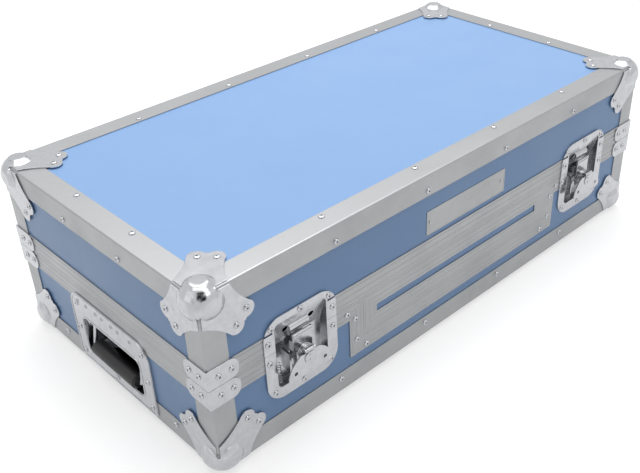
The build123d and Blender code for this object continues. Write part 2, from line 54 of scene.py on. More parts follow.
# Faces that meet at more degrees than this keep a sharp edge
SHARP_ANGLE = 38.0

Point2 = tuple[float, float]
Point3 = tuple[float, float, float]
Colour = tuple[float, float, float, float]
Placement = tuple[Vector, Vector]
BMesh = bmesh.types.BMesh
Tree = bpy.types.NodeTree
Node = bpy.types.Node
Socket = bpy.types.NodeSocket


# Case sizes that the pieces share

@dataclass(frozen=True)
class CaseSizes:
    """Outer sizes of the case over its extrusions, and the levels that pieces are set by."""

    length: float = 810.0
    depth: float = 408.0
    height: float = 243.0
    ball_proud: float = 6.0
    ball_inset: float = 16.0
    edge_wall: float = 1.5
    seam: float = 123.0

    @property
    def halves(self) -> Point3:
        """Half the length, depth and height."""
        return self.length / 2, self.depth / 2, self.height / 2

    @property
    def middle(self) -> Point3:
        """The middle of the case in the row frame."""
        return 0.0, 0.0, self.ball_proud + self.height / 2


CASE = CaseSizes()


class Wall(Enum):
    """The four walls: turn about Z in degrees, and distance from the middle of the case."""

    FRONT = (0.0, CASE.depth / 2)
    RIGHT = (90.0, CASE.length / 2)
    REAR = (180.0, CASE.depth / 2)
    LEFT = (-90.0, CASE.length / 2)

    @property
    def matrix(self) -> Matrix:
        """Places wall axes (x along, y inwards, z up), in metres, into the row frame.

        Returns:
            The matrix.
        """
        turn, distance = self.value
        up = Matrix.Translation((0, 0, CASE.ball_proud * MM))
        return up @ Matrix.Rotation(math.radians(turn), 4, "Z") @ Matrix.Translation((0, -distance * MM, 0))

    @property
    def outwards(self) -> Vector:
        """The wall's outward direction in the row frame."""
        return self.matrix.to_3x3() @ Vector((0, -1, 0))

    @property
    def half(self) -> float:
        """Half the wall's length, in mm."""
        return CASE.length / 2 if self in (Wall.FRONT, Wall.REAR) else CASE.depth / 2

    def point(self, x: float, out: float, z: float) -> Vector:
        """A point on the wall.

        Args:
            x: Distance along the wall from its middle, in mm.
            out: Distance out of the extrusions' outer face, in mm.
            z: Height above the underside of the bottom extrusions, in mm.

        Returns:
            The point in the row frame, in metres.
        """
        return self.matrix @ Vector((x * MM, -out * MM, z * MM))

    def spots(self, points: Iterable[Point2], out: float) -> list[Placement]:
        """Places on the wall that face outwards.

        Args:
            points: Distance along and height of each place, in mm.
            out: How far out of the extrusions' outer face they all lie, in mm.

        Returns:
            The places.
        """
        return [(self.point(x, out, z), self.outwards) for x, z in points]


class Grain(Enum):
    """Which way an extrusion's die lines run."""

    FRAME = "round the case"
    UPRIGHT = "up the posts"
    PANEL = "round the front opening"


# Nodes and colours

# The range that most of a noise's values lie in
NOISE_SPAN = {"From Min": 0.3, "From Max": 0.7}
# Sockets of the Mix node, which has one pair for numbers and another for colours
NUMBER_A, NUMBER_B = 2, 3
COLOUR_A, COLOUR_B, COLOUR_RESULT = 6, 7, 2


def linear(code: str) -> Colour:
    """Turns an sRGB hex colour to linear RGBA.

    Args:
        code: Six hex digits, such as "7FA4DE".

    Returns:
        Linear red, green, blue and an alpha of 1.
    """
    parts = [int(code[i:i + 2], 16) / 255 for i in (0, 2, 4)]
    red, green, blue = (c / 12.92 if c <= 0.04045 else ((c + 0.055) / 1.055) ** 2.4 for c in parts)
    return red, green, blue, 1.0


def grey(value: float) -> Colour:
    """A grey of the given linear value."""
    return value, value, value, 1.0


def per_mm(size: float) -> float:
    """The texture scale at which one feature is the given number of mm, for coordinates in metres."""
    return 1.0 / (size * MM)


def set_inputs(tree: Tree, node: Node, inputs: dict[Any, Any]) -> None:
    """Sets and links a node's inputs.

    Args:
        tree: The node's tree.
        node: The node.
        inputs: Values for sockets by name or index; an output socket is linked.
    """
    for name, value in inputs.items():
        if isinstance(value, Socket):
            tree.links.new(value, node.inputs[name])
        else:
            node.inputs[name].default_value = value


def add_node(tree: Tree, kind: str, settings: dict[str, Any] | None = None,
             inputs: dict[Any, Any] | None = None) -> Node:
    """Adds one node with its settings and links.

    Args:
        tree: The node tree to add to.
        kind: The node's type name, without "ShaderNode".
        settings: Attributes to set on the node.
        inputs: Values for sockets by name or index; an output socket is linked.

    Returns:
        The new node.
    """
    node = tree.nodes.new("ShaderNode" + kind)
    for name, value in (settings or {}).items():
        setattr(node, name, value)
    set_inputs(tree, node, inputs or {})
    return node


def set_ramp(node: Node, stops: Sequence[tuple[float, Colour]]) -> Node:
    """Sets a colour ramp's stops.

    Args:
        node: The ramp node.
        stops: Position and colour of each stop, in order.

    Returns:
        The same node.
    """
    elements = node.color_ramp.elements
    while len(elements) < len(stops):
        elements.new(0.5)
    for element, (position, colour) in zip(elements, stops):
        element.position = position
        element.color = colour
    return node


def cleared_tree(owner: bpy.types.Material | bpy.types.World) -> Tree:
    """Turns on the nodes of a material or world and empties its tree.

    Args:
        owner: The material or world.

    Returns:
        The empty tree.
    """
    owner.use_nodes = True
    owner.node_tree.nodes.clear()
    return owner.node_tree


def folded(tree: Tree, place: Socket) -> Socket:
    """Distances from the middle of the case along each axis, so that all eight corners are alike.

    Args:
        tree: The material's node tree.
        place: The Object coordinates.

    Returns:
        The distances, as a vector.
    """
    middle = tuple(c * MM for c in CASE.middle)
    away = add_node(tree, "VectorMath", {"operation": "SUBTRACT"}, {0: place, 1: middle})
    return add_node(tree, "VectorMath", {"operation": "ABSOLUTE"}, {0: away.outputs[0]}).outputs[0]


def seen_mask(tree: Tree) -> Socket:
    """One for what the eye sees, also in metal or through glass, and nought for what only lights.

    Args:
        tree: The node tree.

    Returns:
        The mask.
    """
    path = add_node(tree, "LightPath")
    clear = add_node(tree, "Math", {"operation": "MAXIMUM"}, {
        0: path.outputs["Is Glossy Ray"], 1: path.outputs["Is Transmission Ray"]})
    return add_node(tree, "Math", {"operation": "MAXIMUM"}, {
        0: path.outputs["Is Camera Ray"], 1: clear.outputs[0]}).outputs[0]


# Finishes

class Finish(ABC):
    """A surface finish that builds its material once and then hands it out."""

    made: dict[str, bpy.types.Material] = {}

    @property
    @abstractmethod
    def title(self) -> str:
        """The material's name."""

    @abstractmethod
    def wire(self, tree: Tree, shader: Node, place: Socket) -> None:
        """Adds the finish's nodes.

        Args:
            tree: The material's node tree.
            shader: Its Principled shader.
            place: The Object coordinates.
        """

    def material(self) -> bpy.types.Material:
        """The finished material.

        Returns:
            The material, made on the first call.
        """
        if self.title not in self.made:
            material = bpy.data.materials.new(self.title)
            tree = cleared_tree(material)
            shader = add_node(tree, "BsdfPrincipled")
            add_node(tree, "OutputMaterial", inputs={"Surface": shader.outputs[0]})
            self.wire(tree, shader, add_node(tree, "TexCoord").outputs["Object"])
            self.made[self.title] = material
        return self.made[self.title]


@dataclass(frozen=True)
class AnodisedAluminium(Finish):
    """Extruded and clear-anodised aluminium: a soft white metal with fine die lines along each bar.

    Real die lines are finer than line_width, which is as coarse as they need to be to show.
    """

    grain: Grain = Grain.FRAME
    colour: str = "A6A7A8"
    shade: str = "9D9FA1"
    roughness: float = 0.34
    line_width: float = 0.7
    line_length: float = 220.0
    line_depth: float = 0.035
    line_roughness: float = 0.12
    cloud_size: float = 72.0
    cloud_roughness: float = 0.07
    scuff_size: float = 6.0
    scuff_span: Point2 = (0.58, 0.75)
    scuff_roughness: float = 0.14
    edge: float = 0.35
    panel_half: float = 170.0

    @property
    def title(self) -> str:
        """The material's name."""
        return "anodised_aluminium_" + self.grain.name.lower()

    def lines(self, tree: Tree, place: Socket, along: int) -> Socket:
        """Die lines along one axis.

        Args:
            tree: The material's node tree.
            place: The Object coordinates.
            along: Index of the axis that the lines follow.

        Returns:
            The lines' height.
        """
        scale = [per_mm(self.line_width)] * 3
        scale[along] = per_mm(self.line_length)
        stretched = add_node(tree, "Mapping", inputs={"Vector": place, "Scale": scale})
        noise = add_node(tree, "TexNoise", inputs={
            "Vector": stretched.outputs[0], "Scale": 1.0, "Detail": 2.0, "Roughness": 0.6})
        return noise.outputs["Fac"]

    def direction_mask(self, tree: Tree, place: Socket) -> Socket:
        """One where a bar runs along Y, or up, and nought where it runs along X.

        The case's bars change over at its mitres, and the front opening's beyond panel_half.

        Args:
            tree: The material's node tree.
            place: The Object coordinates.

        Returns:
            The mask.
        """
        axes = add_node(tree, "SeparateXYZ", inputs={0: place})
        x, y = (add_node(tree, "Math", {"operation": "ABSOLUTE"}, {0: axes.outputs[i]}).outputs[0]
                for i in (0, 1))
        if self.grain is Grain.PANEL:
            reach, limit = x, self.panel_half * MM
        else:
            reach = add_node(tree, "Math", {"operation": "SUBTRACT"}, {0: x, 1: y}).outputs[0]
            limit = (CASE.length - CASE.depth) / 2 * MM
        return add_node(tree, "Math", {"operation": "GREATER_THAN"}, {0: reach, 1: limit}).outputs[0]

    def wire(self, tree: Tree, shader: Node, place: Socket) -> None:
        """Die lines in the bump and roughness, with cloudy handling marks and short scuffs.

        Args:
            tree: The material's node tree.
            shader: Its Principled shader.
            place: The Object coordinates.
        """
        if self.grain is Grain.UPRIGHT:
            height = self.lines(tree, place, 2)
        else:
            across = 1 if self.grain is Grain.FRAME else 2
            height = add_node(tree, "Mix", {"data_type": "FLOAT"}, {
                0: self.direction_mask(tree, place), NUMBER_A: self.lines(tree, place, 0),
                NUMBER_B: self.lines(tree, place, across)}).outputs[0]
        cloud = add_node(tree, "TexNoise", inputs={
            "Vector": place, "Scale": per_mm(self.cloud_size), "Detail": 5.0, "Roughness": 0.65})
        scuff = add_node(tree, "TexNoise", inputs={
            "Vector": place, "Scale": per_mm(self.scuff_size), "Detail": 8.0, "Roughness": 0.75,
            "Distortion": 1.5})
        worn = add_node(tree, "MapRange", inputs={
            "Value": scuff.outputs["Fac"], "From Min": self.scuff_span[0], "From Max": self.scuff_span[1]})
        base = add_node(tree, "MapRange", inputs={
            "Value": cloud.outputs["Fac"], **NOISE_SPAN,
            "To Min": self.roughness - self.cloud_roughness, "To Max": self.roughness + self.cloud_roughness})
        lined = add_node(tree, "Math", {"operation": "MULTIPLY_ADD"}, {
            0: height, 1: self.line_roughness, 2: base.outputs[0]})
        rough = add_node(tree, "Math", {"operation": "MULTIPLY_ADD"}, {
            0: worn.outputs[0], 1: self.scuff_roughness, 2: lined.outputs[0]})
        tint = set_ramp(add_node(tree, "ValToRGB", inputs={0: cloud.outputs["Fac"]}), [
            (0.3, linear(self.colour)), (0.75, linear(self.shade))])
        edge = add_node(tree, "Bevel", {"samples": 4}, {"Radius": self.edge * MM})
        bump = add_node(tree, "Bump", inputs={
            "Strength": 0.5, "Distance": self.line_depth * MM, "Height": height, "Normal": edge.outputs[0]})
        set_inputs(tree, shader, {"Metallic": 1.0, "Base Color": tint.outputs[0],
                                  "Roughness": rough.outputs[0], "Normal": bump.outputs[0]})


@dataclass(frozen=True)
class PlatedSteel(Finish):
    """Pressed and bright-plated steel: a mirror softened by the press's slow waves and fine rubbing marks.

    Real rubbing marks are finer than rub_size, which is as coarse as they need to be to show.
    """

    colour: str = "C0C1C4"
    shade: str = "AEB0B4"
    roughness: float = 0.17
    wave_size: float = 22.0
    wave_depth: float = 0.25
    cloud_size: float = 11.0
    cloud_polish: float = 0.06
    cloud_haze: float = 0.08
    rub_size: float = 1.6
    rub_roughness: float = 0.06
    edge: float = 0.5
    ball_edge: float = 4.0
    ball_polish: float = 0.07
    ball_radius: float = 24.3

    @property
    def title(self) -> str:
        """The material's name."""
        return "plated_pressed_steel"

    def ball_mask(self, tree: Tree, place: Socket) -> Socket:
        """One on the balls of the corners, whose pressed edges are rounder than cut sheet.

        Args:
            tree: The material's node tree.
            place: The Object coordinates.

        Returns:
            The mask.
        """
        centre = tuple((half - CASE.ball_inset) * MM for half in CASE.halves)
        away = add_node(tree, "VectorMath", {"operation": "DISTANCE"}, {0: folded(tree, place), 1: centre})
        return add_node(tree, "Math", {"operation": "LESS_THAN"}, {
            0: away.outputs["Value"], 1: self.ball_radius * MM}).outputs[0]

    def wire(self, tree: Tree, shader: Node, place: Socket) -> None:
        """Waves from the press in the bump, with a cloudy plate and rubbing marks in the roughness.

        Args:
            tree: The material's node tree.
            shader: Its Principled shader.
            place: The Object coordinates.
        """
        wave = add_node(tree, "TexNoise", inputs={
            "Vector": place, "Scale": per_mm(self.wave_size), "Detail": 2.0, "Roughness": 0.4})
        cloud = add_node(tree, "TexNoise", inputs={
            "Vector": place, "Scale": per_mm(self.cloud_size), "Detail": 6.0, "Roughness": 0.7})
        rub = add_node(tree, "TexNoise", inputs={
            "Vector": place, "Scale": per_mm(self.rub_size), "Detail": 4.0, "Roughness": 0.8,
            "Distortion": 2.0})
        base = add_node(tree, "MapRange", inputs={
            "Value": cloud.outputs["Fac"], **NOISE_SPAN,
            "To Min": self.roughness - self.cloud_polish, "To Max": self.roughness + self.cloud_haze})
        rubbed = add_node(tree, "Math", {"operation": "MULTIPLY_ADD"}, {
            0: rub.outputs["Fac"], 1: self.rub_roughness, 2: base.outputs[0]})
        ball = self.ball_mask(tree, place)
        rough = add_node(tree, "Math", {"operation": "MULTIPLY_ADD"}, {
            0: ball, 1: -self.ball_polish, 2: rubbed.outputs[0]})
        tint = set_ramp(add_node(tree, "ValToRGB", inputs={0: cloud.outputs["Fac"]}), [
            (0.3, linear(self.colour)), (0.8, linear(self.shade))])
        round_edge = add_node(tree, "Math", {"operation": "MULTIPLY_ADD"}, {
            0: ball, 1: self.ball_edge * MM, 2: self.edge * MM})
        edge = add_node(tree, "Bevel", {"samples": 8}, {"Radius": round_edge.outputs[0]})
        bump = add_node(tree, "Bump", inputs={
            "Strength": 0.35, "Distance": self.wave_depth * MM, "Height": wave.outputs["Fac"],
            "Normal": edge.outputs[0]})
        set_inputs(tree, shader, {"Metallic": 1.0, "Base Color": tint.outputs[0],
                                  "Roughness": rough.outputs[0], "Normal": bump.outputs[0]})


@dataclass(frozen=True)
class LaminatedPlywood(Finish):
    """Birch plywood under smooth blue laminate: satin colour outside, pale veneers inside and on cut edges.

    The laminate's real pebble is finer than pebble, which is as coarse as it needs to be to show.
    """

    colour: str = "8AB0E0"
    shade: str = "87ADDE"
    birch: str = "E0C299"
    birch_grain: str = "B98F5F"
    cloud_size: float = 90.0
    sheen: Point2 = (0.3, 0.4)
    birch_roughness: float = 0.7
    pebble: float = 0.9
    relief: float = 0.05
    veneer: float = 1.5
    grain_width: float = 3.0
    grain_length: float = 160.0
    laminate: float = 0.1

    @property
    def title(self) -> str:
        """The material's name."""
        return "laminated_plywood"

    def outside(self, tree: Tree, place: Socket) -> Socket:
        """One on the laminate, which lies level with the boards' outer faces.

        Args:
            tree: The material's node tree.
            place: The Object coordinates.

        Returns:
            The mask.
        """
        skin = CASE.edge_wall + self.laminate
        axes = add_node(tree, "SeparateXYZ", inputs={0: folded(tree, place)})
        x, y, z = (add_node(tree, "Math", {"operation": "GREATER_THAN"}, {
            0: axes.outputs[i], 1: (half - skin) * MM}).outputs[0] for i, half in enumerate(CASE.halves))
        either = add_node(tree, "Math", {"operation": "MAXIMUM"}, {0: x, 1: y})
        return add_node(tree, "Math", {"operation": "MAXIMUM"}, {0: either.outputs[0], 1: z}).outputs[0]

    def wire(self, tree: Tree, shader: Node, place: Socket) -> None:
        """Blue laminate with a fine pebble outside, and birch grain within.

        Args:
            tree: The material's node tree.
            shader: Its Principled shader.
            place: The Object coordinates.
        """
        mask = self.outside(tree, place)
        cloud = add_node(tree, "TexNoise", inputs={
            "Vector": place, "Scale": per_mm(self.cloud_size), "Detail": 4.0, "Roughness": 0.6})
        blue = set_ramp(add_node(tree, "ValToRGB", inputs={0: cloud.outputs["Fac"]}), [
            (0.35, linear(self.colour)), (0.7, linear(self.shade))])
        stretched = add_node(tree, "Mapping", inputs={
            "Vector": place,
            "Scale": (per_mm(self.grain_length), per_mm(self.grain_width), per_mm(self.veneer))})
        grain = add_node(tree, "TexNoise", inputs={
            "Vector": stretched.outputs[0], "Scale": 1.0, "Detail": 4.0, "Roughness": 0.6,
            "Distortion": 0.4})
        birch = set_ramp(add_node(tree, "ValToRGB", inputs={0: grain.outputs["Fac"]}), [
            (0.3, linear(self.birch_grain)), (0.65, linear(self.birch))])
        colour = add_node(tree, "Mix", {"data_type": "RGBA"}, {
            0: mask, COLOUR_A: birch.outputs[0], COLOUR_B: blue.outputs[0]})
        smear = add_node(tree, "MapRange", inputs={
            "Value": cloud.outputs["Fac"], **NOISE_SPAN, "To Min": self.sheen[0], "To Max": self.sheen[1]})
        rough = add_node(tree, "Mix", {"data_type": "FLOAT"}, {
            0: mask, NUMBER_A: self.birch_roughness, NUMBER_B: smear.outputs[0]})
        pebbles = add_node(tree, "TexNoise", inputs={
            "Vector": place, "Scale": per_mm(self.pebble), "Detail": 2.0, "Roughness": 0.5})
        height = add_node(tree, "Mix", {"data_type": "FLOAT"}, {
            0: mask, NUMBER_A: grain.outputs["Fac"], NUMBER_B: pebbles.outputs["Fac"]})
        bump = add_node(tree, "Bump", inputs={
            "Strength": 0.35, "Distance": self.relief * MM, "Height": height.outputs[0]})
        set_inputs(tree, shader, {"Specular IOR Level": 0.4, "Base Color": colour.outputs[COLOUR_RESULT],
                                  "Roughness": rough.outputs[0], "Normal": bump.outputs[0]})


@dataclass(frozen=True)
class MouldedRubber(Finish):
    """Black moulded rubber: dark and matt, with the mould's fine spark-eroded grain.

    The real grain is finer than grain, which is as coarse as it needs to be to show.
    """

    colour: str = "1B1B1D"
    shade: str = "26262A"
    grain: float = 0.8
    grain_depth: float = 0.12
    palm_size: float = 30.0
    sheen: Point2 = (0.42, 0.6)

    @property
    def title(self) -> str:
        """The material's name."""
        return "moulded_black_rubber"

    def wire(self, tree: Tree, shader: Node, place: Socket) -> None:
        """Mould grain in the bump, and palms' polish in the colour and roughness.

        Args:
            tree: The material's node tree.
            shader: Its Principled shader.
            place: The Object coordinates.
        """
        grain = add_node(tree, "TexVoronoi", inputs={"Vector": place, "Scale": per_mm(self.grain)})
        polish = add_node(tree, "TexNoise", inputs={
            "Vector": place, "Scale": per_mm(self.palm_size), "Detail": 5.0})
        tint = set_ramp(add_node(tree, "ValToRGB", inputs={0: polish.outputs["Fac"]}), [
            (0.35, linear(self.colour)), (0.7, linear(self.shade))])
        rough = add_node(tree, "MapRange", inputs={
            "Value": polish.outputs["Fac"], **NOISE_SPAN, "To Min": self.sheen[0], "To Max": self.sheen[1]})
        bump = add_node(tree, "Bump", inputs={
            "Strength": 0.4, "Distance": self.grain_depth * MM, "Height": grain.outputs["Distance"]})
        set_inputs(tree, shader, {"Base Color": tint.outputs[0], "Roughness": rough.outputs[0],
                                  "Normal": bump.outputs[0]})


@dataclass(frozen=True)
class OpenCellFoam(Finish):
    """Black open-cell polyurethane foam: near-black, dull and pitted with small cells.

    Real cells are smaller than cell, which is as coarse as they need to be to show.
    """

    pit_shade: str = "0C0C0E"
    skin: str = "2A2A2E"
    cell: float = 1.6
    cell_depth: float = 0.5

    @property
    def title(self) -> str:
        """The material's name."""
        return "open_cell_foam"

    def wire(self, tree: Tree, shader: Node, place: Socket) -> None:
        """Cells in the bump, and painted shade in the colour that darkens each cell's pit.

        Args:
            tree: The material's node tree.
            shader: Its Principled shader.
            place: The Object coordinates.
        """
        cells = add_node(tree, "TexVoronoi", inputs={"Vector": place, "Scale": per_mm(self.cell)})
        # Painted shade: the colour is darkest in the middle of each cell, where its pit lies.
        tint = set_ramp(add_node(tree, "ValToRGB", inputs={0: cells.outputs["Distance"]}), [
            (0.1, linear(self.pit_shade)), (0.6, linear(self.skin))])
        bump = add_node(tree, "Bump", inputs={
            "Strength": 0.8, "Distance": self.cell_depth * MM, "Height": cells.outputs["Distance"]})
        set_inputs(tree, shader, {"Roughness": 0.95, "Specular IOR Level": 0.25,
                                  "Base Color": tint.outputs[0], "Normal": bump.outputs[0]})


FRAME_METAL = AnodisedAluminium(Grain.FRAME)
POST_METAL = AnodisedAluminium(Grain.UPRIGHT)
PANEL_METAL = AnodisedAluminium(Grain.PANEL)
STEEL = PlatedSteel()
BOARD = LaminatedPlywood()
RUBBER = MouldedRubber()
FOAM = OpenCellFoam()


# Meshes

def to_mesh(bm: BMesh, name: str) -> bpy.types.Mesh:
    """Turns a bmesh into a mesh, and frees it.

    Args:
        bm: The bmesh.
        name: The mesh's name.

    Returns:
        The mesh.
    """
    mesh = bpy.data.meshes.new(name)
    bm.to_mesh(mesh)
    bm.free()
    return mesh


def add_object(name: str, data: bpy.types.ID) -> bpy.types.Object:
    """Puts a mesh, lamp or camera into the scene.

    Args:
        name: The object's name.
        data: Its mesh, lamp or camera.

    Returns:
        The object.
    """
    thing = bpy.data.objects.new(name, data)
    bpy.context.scene.collection.objects.link(thing)
    return thing


def finish_piece(bm: BMesh, name: str, finish: Finish, body: str) -> bpy.types.Object:
    """Turns a bmesh into a finished piece that rides on its body.

    Args:
        bm: The piece's mesh in the row frame, in metres; it is freed here.
        name: The piece's name.
        finish: Its finish.
        body: The CAD body it rides on.

    Returns:
        The new object.
    """
    mesh = to_mesh(bm, name)
    mesh.materials.append(finish.material())
    mesh.polygons.foreach_set("use_smooth", [True] * len(mesh.polygons))
    mesh.set_sharp_from_angle(angle=math.radians(SHARP_ANGLE))
    piece = add_object(name, mesh)
    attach(piece, body)
    log.info("%s: %d faces on %s", name, len(mesh.polygons), body)
    return piece


def spun(profile: Sequence[Point2], steps: int, closed: bool = False) -> bpy.types.Mesh:
    """Spins a profile about the Z axis into a turned shape.

    Args:
        profile: Radius and height of each point in mm, from the rim to the axis, or round a ring.
        steps: Segments round the turn.
        closed: Whether the profile is a loop, which makes a ring.

    Returns:
        The mesh, standing on the XY plane.
    """
    bm = bmesh.new()
    verts = [bm.verts.new((r * MM, 0, z * MM)) for r, z in profile]
    following = verts[1:] + verts[:1] if closed else verts[1:]
    edges = [bm.edges.new(pair) for pair in zip(verts, following)]
    bmesh.ops.spin(bm, geom=verts + edges, axis=(0, 0, 1), cent=(0, 0, 0), steps=steps,
                   angle=math.tau, use_merge=True)
    bmesh.ops.remove_doubles(bm, verts=bm.verts, dist=WELD)
    bmesh.ops.holes_fill(bm, edges=bm.edges, sides=steps)
    bmesh.ops.recalc_face_normals(bm, faces=bm.faces)
    return to_mesh(bm, "turned")


def place_copies(template: bpy.types.Mesh, places: Iterable[Placement]) -> BMesh:
    """Sets copies of a mesh on their places.

    Args:
        template: A mesh that points up Z from the origin.
        places: Foot and direction of each copy, in the row frame.

    Returns:
        One bmesh with every copy.
    """
    bm = bmesh.new()
    for foot, direction in places:
        start = len(bm.verts)
        bm.from_mesh(template)
        bm.verts.ensure_lookup_table()
        turn = direction.to_track_quat("Z", "Y").to_matrix().to_4x4()
        bmesh.ops.transform(bm, matrix=Matrix.Translation(foot) @ turn, verts=bm.verts[start:])
    return bm


def rounded_outline(half: float, low: float, high: float, lower: float, upper: float,
                    steps: int = 6) -> list[Point2]:
    """Points round a rectangle whose lower and upper corners are rounded.

    Args:
        half: Half its width, in mm.
        low: Its lower edge, in mm.
        high: Its upper edge, in mm.
        lower: Radius of the lower corners, in mm.
        upper: Radius of the upper corners, in mm.
        steps: Segments round each corner.

    Returns:
        The points, anticlockwise.
    """
    corners = ((half - lower, low + lower, lower, -90), (half - upper, high - upper, upper, 0),
               (upper - half, high - upper, upper, 90), (lower - half, low + lower, lower, 180))
    points = []
    for x, z, radius, start in corners:
        for i in range(steps + 1):
            angle = math.radians(start + 90 * i / steps)
            points.append((x + radius * math.cos(angle), z + radius * math.sin(angle)))
    return points


def tube(path: Sequence[Vector], radius: float, closed: bool, sides: int) -> BMesh:
    """Draws a round wire along a path.

    Args:
        path: Points of its middle line, in metres.
        radius: The wire's radius, in mm.
        closed: Whether the path is a loop; an open wire gets closed ends.
        sides: Facets round the wire.

    Returns:
        The wire's mesh.
    """
    bm = bmesh.new()
    count = len(path)
    rings = []
    for i, point in enumerate(path):
        before = path[i - 1] if closed or i > 0 else point
        after = path[(i + 1) % count] if closed or i < count - 1 else point
        forward = (after - before).normalized()
        across = forward.orthogonal().normalized() if not rings else (
            last_across - forward * last_across.dot(forward)).normalized()
        last_across = across
        up = forward.cross(across)
        rings.append([bm.verts.new(point + (across * math.cos(a) + up * math.sin(a)) * radius * MM)
                      for a in (math.tau * k / sides for k in range(sides))])
    for first, second in zip(rings, rings[1:]):
        for k in range(sides):
            bm.faces.new((first[k], first[(k + 1) % sides], second[(k + 1) % sides], second[k]))
    if closed:
        loops = [bm.edges.get((ring[k], ring[k - 1])) for ring in (rings[-1], rings[0]) for k in range(sides)]
        bmesh.ops.bridge_loops(bm, edges=loops)
    else:
        bm.faces.new(rings[0])
        bm.faces.new(rings[-1])
    bmesh.ops.recalc_face_normals(bm, faces=bm.faces)
    return bm


def merged(meshes: Iterable[BMesh]) -> BMesh:
    """Joins several meshes into one, and frees them.

    Args:
        meshes: The meshes.

    Returns:
        One mesh with all of them.
    """
    whole = bmesh.new()
    for bm in meshes:
        part = to_mesh(bm, "part")
        whole.from_mesh(part)
        bpy.data.meshes.remove(part)
    return whole


@dataclass(frozen=True)
class Spring:
    """A coil spring of round wire."""

    radius: float
    wire: float
    turns: int
    length: float
    steps: int = 14
    sides: int = 6

    def wound(self, wall: Wall, start: Point3, upright: bool) -> BMesh:
        """Winds the spring on a wall.

        Args:
            wall: The wall.
            start: Wall coordinates of the middle of its first turn, in mm.
            upright: Whether it stands up the wall; otherwise it lies along it.

        Returns:
            The spring's mesh.
        """
        path = []
        for i in range(self.turns * self.steps + 1):
            angle = math.tau * i / self.steps
            rise = self.length * i / (self.turns * self.steps)
            first, second = self.radius * math.cos(angle), self.radius * math.sin(angle)
            offset = (first, second, rise) if upright else (rise, first, second)
            path.append(wall.point(*(a + b for a, b in zip(start, offset))))
        return tube(path, self.wire, closed=False, sides=self.sides)


def dress(names: Iterable[str], finish: Finish) -> None:
    """Gives CAD nodes their finish.

    Args:
        names: The nodes.
        finish: The finish.
    """
    for name in names:
        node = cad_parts[name]
        for material_slot in node.material_slots:
            material_slot.material = finish.material()


# Sub-assemblies

@dataclass
class Rivets:
    """Domed pop rivets of one kind, set in groups on the bodies that they hold.

    The stub's points are shares of the hole's radius and of its floor's height, and the points of the
    dark cup of painted shade are shares of the hole's radius and of its mouth's height.
    """

    radius: float = 3.9
    height: float = 1.9
    rim: float = 0.35
    tuck: float = 0.2
    bore: float = 0.36
    floor: float = 0.15
    mouth: float = 0.55
    stub: tuple[Point2, ...] = ((0.92, 1.0), (0.55, 1.0), (0.5, 2.5), (0.0, 2.9))
    cup: tuple[Point2, ...] = ((1.0, 0.0), (1.0, 1.0), (0.8, 1.0), (0.6, 0.4), (0.0, 0.3))
    dome_steps: int = 6
    head_segments: int = 18
    cup_segments: int = 14

    @property
    def hole(self) -> float:
        """Radius of the sunk middle, in mm."""
        return self.radius * self.bore

    def template(self) -> bpy.types.Mesh:
        """A domed head whose sunk middle still holds the stub of the pulled pin.

        Returns:
            The head, on the XY plane.
        """
        hole, floor = self.hole, self.height * self.floor
        angles = (math.pi / 2 * i / self.dome_steps for i in range(self.dome_steps + 1))
        dome = [(hole + (self.radius - hole) * math.cos(a), self.rim + (self.height - self.rim) * math.sin(a))
                for a in angles]
        stub = [(hole * r, floor * z) for r, z in self.stub]
        return spun([(self.radius, -self.tuck), *dome, *stub], self.head_segments)

    def build_shadows(self, name: str, body: str, places: Iterable[Placement]) -> None:
        """Sinks a dark cup into the middle of each head, as painted shade for a hole that is not cut.

        Args:
            name: The piece's name.
            body: The body it rides on.
            places: Foot and direction of each head.
        """
        mouth = self.height * self.mouth
        cup = spun([(self.hole * r, mouth * z) for r, z in self.cup], self.cup_segments)
        # The cups take the black rubber finish only as painted shade for the holes, not as rubber plugs.
        finish_piece(place_copies(cup, places), name, RUBBER, body)

    def build(self, name: str, body: str, places: Iterable[Placement]) -> None:
        """Makes one group of rivets.

        Args:
            name: The piece's name.
            body: The body it rides on.
            places: Foot and direction of each rivet.
        """
        finish_piece(place_copies(self.template(), places), name, STEEL, body)


def hardware_rivets() -> Rivets:
    """The lower-headed rivets that hold the pressed steel."""
    return Rivets(height=1.7)


